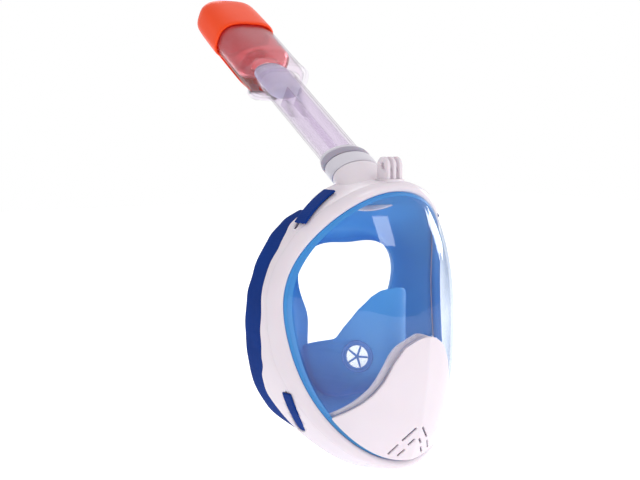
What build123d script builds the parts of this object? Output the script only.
from build123d import *
import math
import os

# Full face snorkel: a mask that covers the whole face, with a dry-top snorkel.
# X runs across the face, -Y is forward, +Z is up; the origin is the middle of
# the soft seal that rests on the wearer's face.

# ---- driving dimensions (mm) -------------------------------------------------
POLE_Z = 14.6                      # height the rim outline is measured round
RIM_R = [95.2, -11.0, 14.3, -3.6, 1.2]    # rim radius, cosine series
HOLE_R = [57.5, -8.6, 10.4, -9.7, -1.2]   # face opening radius, cosine series
RIM_WIDTH = 9.2                    # face width of the front rim
RIM_FRONT = 2.0                    # rim stands this far ahead of the rim surface
RIM_BACK = 4.0
GAP = 0.1                          # parting line between neighbouring mouldings
WALL = 2.2                         # side wall thickness
FLANGE = 1.7                       # inner edge of the rear frame's screw flange
BULGE = 34.0                       # how far the visor domes forward
VISOR_T = 2.6
COVER_T = 3.0
COVER_PROUD = 2.0
SKIRT_T = 2.4
CUP_T = 2.2
SEAL_AT = 0.22                     # share of the skirt width taken by the inner lip
LIP_DROP = 11.0

LEAN = math.radians(56.7)          # snorkel lean from the vertical
FOOT = (0.0, -3.3, 135.9)          # axis point at the top of the collar
TUBE_A, TUBE_B = 21.0, 12.0        # tube half axes
TUBE_WALL = 1.6
PLUG_LEN = 24.0
RUN = 0.06                         # running clearance of the plug in its socket
TUBE_TOP = 128.0
HEAD_A, HEAD_B = 29.0, 18.5        # dry-top housing half axes
HEAD_FROM, HEAD_TO = 119.0, 194.0
CAP_A, CAP_B = 31.0, 20.5
CAP_TO = 243.0
HEAD_WALL = 1.6
DIVIDER_TO = 98.0
FLOAT_FROM, FLOAT_TO = 103.0, 140.0

LUG_PITCH, LUG_T, LUG_R = 6.2, 3.0, 7.5
LUG_Y, LUG_Z = -69.5, 132.0
LUG_BORE = 2.6

VALVE = (25.0, -61.0, -27.0)       # inhale valve centre on the wearer's left
VALVE_R, SEAT_R = 9.4, 13.6
DRAIN_R, DRAIN_RIM = 10.5, 13.9
DRAIN_Z = -76.0

SCREW_R = 1.0
SCREW_ANGLES = [24, 66, 112, 156]  # rim screws, by angle from the top
EARS = [(44.0, -36.0, 4.5, 28.0),  # strap slots: angle, Y, width, length
        (141.0, -36.0, 12.0, 36.0)]
RIM_SHARE = [(0, 1.0), (45, 1.0), (62, 0.79), (76, 0.72), (92, 0.72), (106, 0.84),
             (120, 1.0), (180, 1.0)]  # share of the rim width, by angle: narrower at the sides
WALL_DEPTH = [(0, 46), (18, 44), (32, 24), (44, 21), (52, 13), (60, 9), (75, 8), (95, 8),
              (110, 11), (120, 15), (127, 27), (134, 34), (146, 34), (160, 30), (180, 26)]
STRAP_REAR = [(32, -14), (42, -2), (52, 4), (72, 11), (87, 17), (106, 22), (121, 25),
              (136, 27), (148, 23), (160, 4)]
VENTS = [((3, -80), (13, -91)), ((15, -94), (21, -103)), ((2, -90), (7, -95.5)), ((8, -99), (13, -105))]

TX = (0.0, math.sin(LEAN), math.cos(LEAN))
NX = (0.0, -math.cos(LEAN), math.sin(LEAN))


# ---- surfaces of the mask ----------------------------------------------------
def series(values, t):
    return sum(v * math.cos(k * t) for k, v in enumerate(values))


def polar(x, z):
    t = math.atan2(abs(x), z - POLE_Z)
    r = math.hypot(x, z - POLE_Z)
    return t, r, series(RIM_R, t), series(HOLE_R, t)


def rim_y(x, z):
    return -86.1 + 0.06 * z + 0.0047 * x * x + 4.2e-7 * x ** 4


def visor_y(x, z):
    t, r, rim, hole = polar(x, z)
    q = 1.0 - (r / rim) ** 2
    s = 0.5 * (q + math.sqrt(q * q + 0.012))
    return rim_y(x, z) - BULGE * s ** 0.72


def cover_y(x, z):
    keel = 3.0 * math.exp(-abs(x) / 9.0)
    return visor_y(x, z) - COVER_PROUD - keel


def skirt_y(x, z):
    t, r, rim, hole = polar(x, z)
    u = max(-0.12, min(1.15, (r - hole) / (rim - hole)))
    if u < SEAL_AT:
        return -LIP_DROP * ((SEAL_AT - u) / SEAL_AT) ** 2
    k = (u - SEAL_AT) / (1.0 - SEAL_AT)
    return (rim_y(x, z) + 8.0) * k ** 1.5


def cup_y(x, z):
    side = max(0.0, 1.0 - (abs(x) / 46.0) ** 2.2)
    low = 1.0 if z > -35.0 else max(0.0, 1.0 - ((-35.0 - z) / 38.0) ** 2)
    return -8.0 - 72.0 * side * low


def by_angle(table, deg):
    """Smooth value between the entries of an angle table."""
    for (a, va), (b, vb) in zip(table, table[1:]):
        if a <= deg <= b:
            k = (deg - a) / (b - a)
            return va + (vb - va) * k * k * (3 - 2 * k)
    return table[-1][1]


def folded(t):
    """Angle from the top in degrees, the same on both sides."""
    deg = math.degrees(t) % 360.0
    return min(deg, 360.0 - deg)


def chin_flare(t):
    """The side wall spreads outwards under the chin."""
    return 5.0 * max(0.0, -math.cos(t)) ** 1.5


def wall_y(x, z):
    """Rear edge of the side wall."""
    return rim_y(x, z) + RIM_BACK + by_angle(WALL_DEPTH, math.degrees(polar(x, z)[0]))


def rim_edge(inset):
    """Offset of the rim's outer edge, less an inset."""
    return lambda t: RIM_WIDTH * by_angle(RIM_SHARE, folded(t)) - inset


def ahead(amount):
    """Height in Y at a distance behind the rim surface (negative is ahead)."""
    return lambda x, z: rim_y(x, z) + amount


def behind_visor(amount):
    return lambda x, z: visor_y(x, z) + amount


def rail(offset, height, count=24):
    """Closed curve at the rim radius plus an offset, at the given height in Y."""
    points = []
    for i in range(count):
        t = 2 * math.pi * i / count
        r = series(RIM_R, t) + offset(t)
        x = r * math.sin(t)
        z = POLE_Z + r * math.cos(t)
        points.append(Vector(x, height(x, z), z))
    return Edge.make_spline(points, periodic=True)


def hoop(rails):
    """Closed ring whose section is the loop of rails."""
    faces = []
    for a, b in zip(rails, rails[1:] + rails[:1]):
        faces.append(Face.make_surface_from_curves(a, b))
    return Solid(Shell(Face.sew_faces(faces)[0]))


def dome(front, rear):
    """Closed shell piece: rails run from the rim to a small flat in the middle."""
    faces = []
    rails = list(reversed(front)) + list(rear)
    for a, b in zip(rails, rails[1:]):
        faces.append(Face.make_surface_from_curves(a, b))
    faces.append(Face(Wire([front[-1]])))
    faces.append(Face(Wire([rear[-1]])))
    return Solid(Shell(Face.sew_faces(faces)[0]))


STEPS = [0.97, 0.91, 0.82, 0.68, 0.48, 0.25]


def dome_rails(height, edge):
    rails = [rail(lambda t: edge, height)]
    for k in STEPS:
        rails.append(rail(lambda t: (k - 1.0) * series(RIM_R, t) + k * edge, height))
    middle = height(0.0, POLE_Z)
    rails.append(rail(lambda t: -0.96 * series(RIM_R, t), lambda x, z: middle))
    return rails


def column(points, y0=-200.0, y1=120.0):
    """Solid with a smooth X-Z outline, running along Y."""
    wire = Wire([Spline(*[Vector(x, y0, z) for x, z in points], periodic=True)])
    return extrude(Face(wire), amount=y1 - y0, dir=(0, 1, 0))


def angular(points, y0=-200.0, y1=120.0):
    """Solid with a straight-sided X-Z outline, running along Y."""
    face = make_face(Polyline(*[Vector(x, y0, z) for x, z in points], close=True))
    return extrude(face, amount=y1 - y0, dir=(0, 1, 0))


def both_sides(points):
    """Full outline from the points of its right half, top to bottom."""
    left = [(-x, z) for x, z in reversed(points) if abs(x) > 1e-6]
    return points + left


def mirrored(shape):
    return mirror(shape, about=Plane.YZ)


# ---- helpers for the snorkel -------------------------------------------------
def at(s, n=0.0, x=0.0):
    """Point at distance s up the snorkel axis and n off it towards the front."""
    return Vector(FOOT[0] + x, FOOT[1] + s * TX[1] + n * NX[1], FOOT[2] + s * TX[2] + n * NX[2])


def plane_at(s, n=0.0, x=0.0):
    return Plane(origin=at(s, n, x), x_dir=(1, 0, 0), z_dir=TX)


def oval(s0, s1, a, b, a1=None, b1=None):
    """Solid of oval section from s0 to s1, tapering when a1 and b1 are given."""
    if a1 is None:
        return extrude(plane_at(s0) * Ellipse(a, b), amount=s1 - s0, dir=TX)
    low = plane_at(s0) * Ellipse(a, b)
    high = plane_at(s1) * Ellipse(a1, b1)
    return loft([low.faces()[0], high.faces()[0]])


def block(s0, s1, w, h, n=0.0, x=0.0):
    return extrude(plane_at(s0, n, x) * Rectangle(w, h), amount=s1 - s0, dir=TX)


def disc(centre, normal, r, t0, t1):
    base = Plane(origin=centre, z_dir=normal)
    return extrude(base.offset(t0) * Circle(r), amount=t1 - t0, dir=normal)


def cross_pin(s, n, r, half):
    base = Plane(origin=at(s, n, -half), z_dir=(1, 0, 0))
    return extrude(base * Circle(r), amount=2 * half, dir=(1, 0, 0))


def save(name, shape):
    solids = list(shape.solids())
    result = solids[0] if len(solids) == 1 else Compound(children=solids)
    export_step(result, "parts/" + name + ".step")
    box = result.bounding_box()
    print(name, len(solids), [round(v, 1) for v in (*box.min, *box.max)])


os.makedirs("parts", exist_ok=True)

# ---- front rim: the white ring that clamps the visor --------------------------
front_rim = hoop([
    rail(lambda t: 0.0, ahead(-1.4)),
    rail(lambda t: 2.2, ahead(-RIM_FRONT)),
    rail(rim_edge(2.6), ahead(-RIM_FRONT)),
    rail(rim_edge(0.0), ahead(0.6)),
    rail(rim_edge(0.0), ahead(RIM_BACK)),
    rail(lambda t: FLANGE, ahead(RIM_BACK)),
    rail(lambda t: 0.0, ahead(RIM_BACK)),
])

# ---- rear frame: side wall, strap ears, snorkel neck ---------------------------
wall = hoop([
    rail(rim_edge(0.0), ahead(RIM_BACK + GAP)),
    rail(rim_edge(-0.3), ahead(RIM_BACK + 4.0)),
    rail(lambda t: rim_edge(0.0)(t) + chin_flare(t), wall_y),
    rail(lambda t: rim_edge(WALL)(t) + chin_flare(t), wall_y),
    rail(rim_edge(WALL), ahead(RIM_BACK + 3.0)),
    rail(lambda t: FLANGE, ahead(RIM_BACK + 3.0)),
    rail(lambda t: FLANGE, ahead(RIM_BACK + GAP)),
])
neck = oval(-44.0, -24.05, 27.0, 17.5, 24.0, 14.5)
inner_line = []
for i in range(36):
    t = 2 * math.pi * i / 36
    r = series(RIM_R, t) + 2.0
    inner_line.append((r * math.sin(t), POLE_Z + r * math.cos(t)))
rear_frame = wall + (neck - column(inner_line))
for side in (-1, 1):
    for deg, y, wide, long in EARS:
        t = math.radians(deg)
        r = series(RIM_R, t) + RIM_WIDTH
        centre = (side * r * math.sin(t), y, POLE_Z + r * math.cos(t))
        spot = Plane(origin=centre, x_dir=(0, 1, 0), z_dir=(side * math.sin(t), 0, math.cos(t)))
        rear_frame -= extrude(spot * Rectangle(wide, long), amount=9.0, both=True)
rear_frame -= oval(-70.0, -20.0, TUBE_A + RUN, TUBE_B + RUN)

screws = []
for side in (-1, 1):
    for deg in SCREW_ANGLES:
        t = math.radians(deg)
        r = series(RIM_R, t) + 3.4
        x, z = side * r * math.sin(t), POLE_Z + r * math.cos(t)
        square = Vector(rim_y(x, z) - rim_y(x + 1, z), 1.0, rim_y(x, z) - rim_y(x, z + 1)).normalized()
        screws.append(disc((x, rim_y(x, z) + RIM_BACK + 3.0, z), square, SCREW_R, 0.15, 1.4))
save("front_rim", front_rim)
save("rear_frame", rear_frame)
save("rim_screws", Compound(children=screws))

# ---- visor, its gasket, chin cover --------------------------------------------
CHIN = both_sides([(0, -3), (9, -5.5), (20, -12), (28, -24.5), (34, -39.5), (40, -50), (47, -59), (58, -70),
                   (72, -82), (84, -104), (60, -132), (0, -140)])
chin_zone = column(CHIN)
visor_cut = column([(x, z + 0.3) for x, z in CHIN])
visor = dome(dome_rails(visor_y, -0.15), dome_rails(behind_visor(VISOR_T), -0.15))
save("visor", visor - visor_cut)
cover_back = dome_rails(lambda x, z: cover_y(x, z) + COVER_T, -0.3)
cover = dome(dome_rails(cover_y, -0.3), cover_back) & chin_zone
for side in (-1, 1):
    for (x0, z0), (x1, z1) in VENTS:
        dx, dz = x1 - x0, z1 - z0
        k = 1.1 / math.hypot(dx, dz)
        corners = [(x0 - dz * k, z0 + dx * k), (x1 - dz * k, z1 + dx * k),
                   (x1 + dz * k, z1 - dx * k), (x0 + dz * k, z0 - dx * k)]
        cover -= angular([(side * a, b) for a, b in corners])
save("chin_cover", cover)
gasket = hoop([
    rail(lambda t: -0.1, behind_visor(VISOR_T + GAP)),
    rail(lambda t: -0.1, ahead(RIM_BACK + 3.0)),
    rail(lambda t: -3.0, ahead(RIM_BACK + 3.0)),
    rail(lambda t: -3.0, behind_visor(VISOR_T + GAP)),
])
save("visor_gasket", gasket)

# ---- chin bulkhead with its drain valve ----------------------------------------
def valve_seat(centre, normal, rim, bore, thick):
    """Ring with five spokes that meet at its centre."""
    ring = Circle(rim) - Circle(bore)
    for i in range(5):
        ring += Rot(0, 0, 72 * i + 18) * Pos(bore / 2, 0) * Rectangle(bore + 1.2, 1.8)
    return extrude(Plane(origin=centre, z_dir=normal) * ring, amount=thick, dir=normal)


drain_dir = Vector(0.0, -1.0, -0.28).normalized()
drain = (0.0, visor_y(0, DRAIN_Z) + 8.0, DRAIN_Z)
bulkhead = dome(dome_rails(behind_visor(8.0), -3.4), dome_rails(behind_visor(10.2), -3.4)) & chin_zone
save("chin_bulkhead", bulkhead - disc(drain, drain_dir, DRAIN_RIM + 0.1, -12, 12))
save("drain_seat", valve_seat(drain, drain_dir, DRAIN_RIM, DRAIN_R, 2.2))
save("drain_flap", disc(drain, drain_dir, DRAIN_R + 1.9, 2.25, 3.15))

# ---- face skirt: the soft blue seal --------------------------------------------
def skirt_offset(u):
    return lambda t: -u * (series(RIM_R, t) - series(HOLE_R, t))


rear_rails = [rail(lambda t: 1.5, ahead(RIM_BACK + 3.0 + GAP)), rail(lambda t: 1.5, ahead(RIM_BACK + 5.0))]
front_rails = [rail(lambda t: -3.0, ahead(RIM_BACK + 3.0 + GAP))]
for u in (0.15, 0.32, 0.50, 0.66, 0.78, 0.90, 1.0):
    rear_rails.append(rail(skirt_offset(u), skirt_y))
    front_rails.append(rail(skirt_offset(u), lambda x, z: skirt_y(x, z) - SKIRT_T))
skirt = hoop(rear_rails + list(reversed(front_rails)))
port = oval(-96.0, -46.0, 17.0, 8.0)
save("face_skirt", skirt - port)

# ---- nose and mouth cup with its two inhale valves ------------------------------
def cup_patch(height):
    grid = []
    for i in range(29):
        x = -47.0 + 94.0 * i / 28
        heights = [-76.0 + 112.0 * j / 24 for j in range(25)]
        grid.append([Vector(x, height(x, z), z) for z in heights])
    return Face.make_surface_from_array_of_points(grid, tol=0.05, max_deg=5)


ARCH = [(0, 31.5), (12.5, 29.5), (18.5, 24), (25.5, 12), (31.5, -3.5), (35, -15), (40.5, -31)]
hole_low = []
for deg in (144, 152, 160, 170, 180):
    t = math.radians(deg)
    r = series(HOLE_R, t) - 0.3
    hole_low.append((r * math.sin(t), POLE_Z + r * math.cos(t)))
cup_zone = column(both_sides(ARCH + hole_low))
cup = extrude(cup_patch(cup_y), amount=CUP_T + 0.6, dir=(0, 1, 0)) & cup_zone
valve_dir = Vector(-0.80, -0.60, 0.02).normalized()
left_valve = (-VALVE[0], cup_y(VALVE[0], VALVE[2]) + 0.2, VALVE[2])
cut = disc(left_valve, valve_dir, SEAT_R + 0.05, -9, 9)
cup = cup - cut - mirrored(cut)
save("nose_cup", cup)
seat = valve_seat(left_valve, valve_dir, SEAT_R, VALVE_R, 2.0)
flap = disc(left_valve, valve_dir, VALVE_R + 1.6, -0.95, -0.1)
save("inhale_seat_right", seat)
save("inhale_seat_left", mirrored(seat))
save("inhale_flap_right", flap)
save("inhale_flap_left", mirrored(flap))

# ---- camera lug -----------------------------------------------------------------
lug = Pos(0, LUG_Y, 121.7) * Box(18.0, 17.0, 3.0)
for k in (-1, 0, 1):
    base = Plane(origin=(k * LUG_PITCH - LUG_T / 2, LUG_Y, LUG_Z), z_dir=(1, 0, 0))
    lug += extrude(base * Circle(LUG_R), amount=LUG_T, dir=(1, 0, 0))
    lug += Pos(k * LUG_PITCH, LUG_Y, (LUG_Z + 122.0) / 2) * Box(LUG_T, 2 * LUG_R, LUG_Z - 122.0)
bore_base = Plane(origin=(-20, LUG_Y, LUG_Z), z_dir=(1, 0, 0))
lug -= extrude(bore_base * Circle(LUG_BORE), amount=40, dir=(1, 0, 0))
save("camera_lug", lug)

# ---- snorkel socket collar -------------------------------------------------------
bore = oval(-40.0, 20.0, TUBE_A + RUN, TUBE_B + RUN)
save("neck_collar", oval(-24.0, -10.4, 25.2, 15.6) - bore)

# ---- snorkel tube -----------------------------------------------------------------
tube = oval(-PLUG_LEN, TUBE_TOP, TUBE_A, TUBE_B)
tube -= oval(-PLUG_LEN - 1, TUBE_TOP + 1, TUBE_A - TUBE_WALL, TUBE_B - TUBE_WALL)
core = oval(-PLUG_LEN, DIVIDER_TO, TUBE_A - 0.8, TUBE_B - 0.8)
for x in (-7.0, 7.0):
    tube += block(-PLUG_LEN, DIVIDER_TO, 1.4, 30.0, 0.0, x) & core
groove = oval(-19.0, -16.6, 40, 30) - oval(-20.0, -15.0, TUBE_A - 0.9, TUBE_B - 0.9)
tube -= groove
save("snorkel_tube", tube)
seal = oval(-18.9, -16.7, TUBE_A + 0.03, TUBE_B + 0.03) - oval(-20.0, -15.0, TUBE_A - 0.85, TUBE_B - 0.85)
save("tube_seal", seal)
grip = oval(-12.0, 4.0, TUBE_A + 0.03, TUBE_B + 0.03)
save("neck_gasket", oval(-10.1, -3.0, 25.0, 15.4) - grip)
save("tube_collar", oval(-3.0, 1.8, 24.2, 14.6, 22.6, 13.2) - grip)

# ---- dry top: housing, insert, valve seat, float, cap -------------------------------
housing = oval(HEAD_FROM, HEAD_TO, HEAD_A, HEAD_B)
housing -= oval(HEAD_FROM + 3.0, HEAD_TO + 1, HEAD_A - HEAD_WALL, HEAD_B - HEAD_WALL)
housing -= oval(HEAD_FROM - 1, HEAD_FROM + 4, TUBE_A + 0.03, TUBE_B + 0.03)
for s in (HEAD_FROM, HEAD_FROM + 5.5):
    housing += oval(s, s + 1.6, HEAD_A + 1.2, HEAD_B + 1.2) - oval(s - 1, s + 3, HEAD_A - 0.5, HEAD_B - 0.5)
save("head_housing", housing)
ins_a, ins_b = HEAD_A - HEAD_WALL - 0.05, HEAD_B - HEAD_WALL - 0.05
insert = oval(150.6, HEAD_TO + 6, ins_a, ins_b) - oval(153.0, HEAD_TO + 7, ins_a - 1.5, ins_b - 1.5)
insert -= oval(150, 154, 13.0, 6.0)
save("head_insert", insert)
cap = oval(HEAD_TO + 0.1, CAP_TO - 5.0, CAP_A, CAP_B, CAP_A - 1.2, CAP_B - 1.0)
cap += oval(CAP_TO - 5.0, CAP_TO, CAP_A - 1.2, CAP_B - 1.0, CAP_A - 5.5, CAP_B - 5.0)
cap -= oval(HEAD_TO - 1, CAP_TO - 6.0, ins_a + 0.05, ins_b + 0.05)
save("cap", cap)
float_body = oval(FLOAT_FROM + 3, FLOAT_TO, 18.6, 9.6)
float_body += oval(FLOAT_FROM, FLOAT_FROM + 3, 15.0, 7.0, 18.6, 9.6)
save("float", float_body)
save("float_seal", oval(FLOAT_TO, FLOAT_TO + 1.6, 16.0, 8.4))

# ---- snorkel clip -------------------------------------------------------------------
PIN_S, PIN_N = 146.0, -27.0
for_pin = cross_pin(PIN_S, PIN_N, 1.55, 20)
bracket = Part()
for x in (-9.0, 9.0):
    outline = [(124, -17.2), (132, -27), (142, -30.5), (150, -30), (151, -23), (147, -17.2)]
    web = [at(s, n) for s, n in outline]
    face = make_face(Polyline(*[w + Vector(x - 1.1, 0, 0) for w in web], close=True))
    bracket += extrude(face, amount=2.2, dir=(1, 0, 0))
bracket += block(124.0, 147.0, 20.2, 2.6, -19.6)
bracket -= oval(100, 190, HEAD_A, HEAD_B)
bracket -= oval(HEAD_FROM - 1, HEAD_FROM + 9, HEAD_A + 1.3, HEAD_B + 1.3)
save("clip_bracket", bracket - for_pin)
save("clip_pin", cross_pin(PIN_S, PIN_N, 1.5, 10.1))
tongue = disc(at(PIN_S, PIN_N, -7.4), (1, 0, 0), 3.2, 0, 14.8)
tongue += block(PIN_S + 1.0, PIN_S + 12.0, 14.8, 3.0, PIN_N)
tongue += block(PIN_S + 10.0, 226.0, 22.0, 2.6, PIN_N)
tongue += block(220.0, 226.0, 22.0, 4.6, PIN_N - 1.0)
save("clip_tongue", tongue - for_pin)

# ---- head strap ----------------------------------------------------------------------
def strip(deg0, deg1, off_in, off_out, y_front, y_rear, count=15):
    """Band that follows the rim outline between two angles."""
    lines = [[], [], [], []]
    for i in range(count):
        deg = deg0 + (deg1 - deg0) * i / (count - 1)
        t = math.radians(deg)
        ux, uz = math.sin(t), math.cos(t)
        ra, rb = series(RIM_R, t) + off_in, series(RIM_R, t) + off_out
        y0, y1 = y_front(deg, rb * ux, POLE_Z + rb * uz), y_rear(deg)
        for k, (r, y) in enumerate(((ra, y0), (rb, y0), (rb, y1), (ra, y1))):
            lines[k].append(Vector(r * ux, y, POLE_Z + r * uz))
    edges = [Edge.make_spline(line) for line in lines]
    faces = [Face.make_surface_from_curves(a, b) for a, b in zip(edges, edges[1:] + edges[:1])]
    for end in (0, -1):
        faces.append(make_face(Polyline(*[line[end] for line in lines], close=True)).face())
    return Solid(Shell(Face.sew_faces(faces)[0]))


side_strap = strip(33, 160, 1.6, 3.9, lambda deg, x, z: rim_y(x, z) + 10.4,
                   lambda deg: by_angle(STRAP_REAR, deg))
save("strap_side_left", side_strap)
save("strap_side_right", mirrored(side_strap))
BACK_TOP = [(-70.0, 7.0, -58.0), (-42.0, 18.0, -59.0), (0.0, 24.0, -60.0)]
BACK_LOW = [(-58.0, 1.0, -80.0), (-30.0, 13.0, -82.0), (0.0, 19.0, -84.0)]
lines = []
for side, behind in ((BACK_TOP, 0.0), (BACK_TOP, 2.6), (BACK_LOW, 2.6), (BACK_LOW, 0.0)):
    half = [(x, y + behind, z) for x, y, z in side]
    lines.append([Vector(*p) for p in half + [(-x, y, z) for x, y, z in reversed(half[:-1])]])
edges = [Edge.make_spline(line) for line in lines]
faces = [Face.make_surface_from_curves(a, b) for a, b in zip(edges, edges[1:] + edges[:1])]
for end in (0, -1):
    faces.append(make_face(Polyline(*[line[end] for line in lines], close=True)).face())
save("strap_back_band", Solid(Shell(Face.sew_faces(faces)[0])))
upper_tail = strip(24, 45, RIM_WIDTH + 0.7, RIM_WIDTH + 3.1, lambda deg, x, z: -50.0, lambda deg: -34.0)
save("strap_tail_left", upper_tail)
save("strap_tail_right", mirrored(upper_tail))
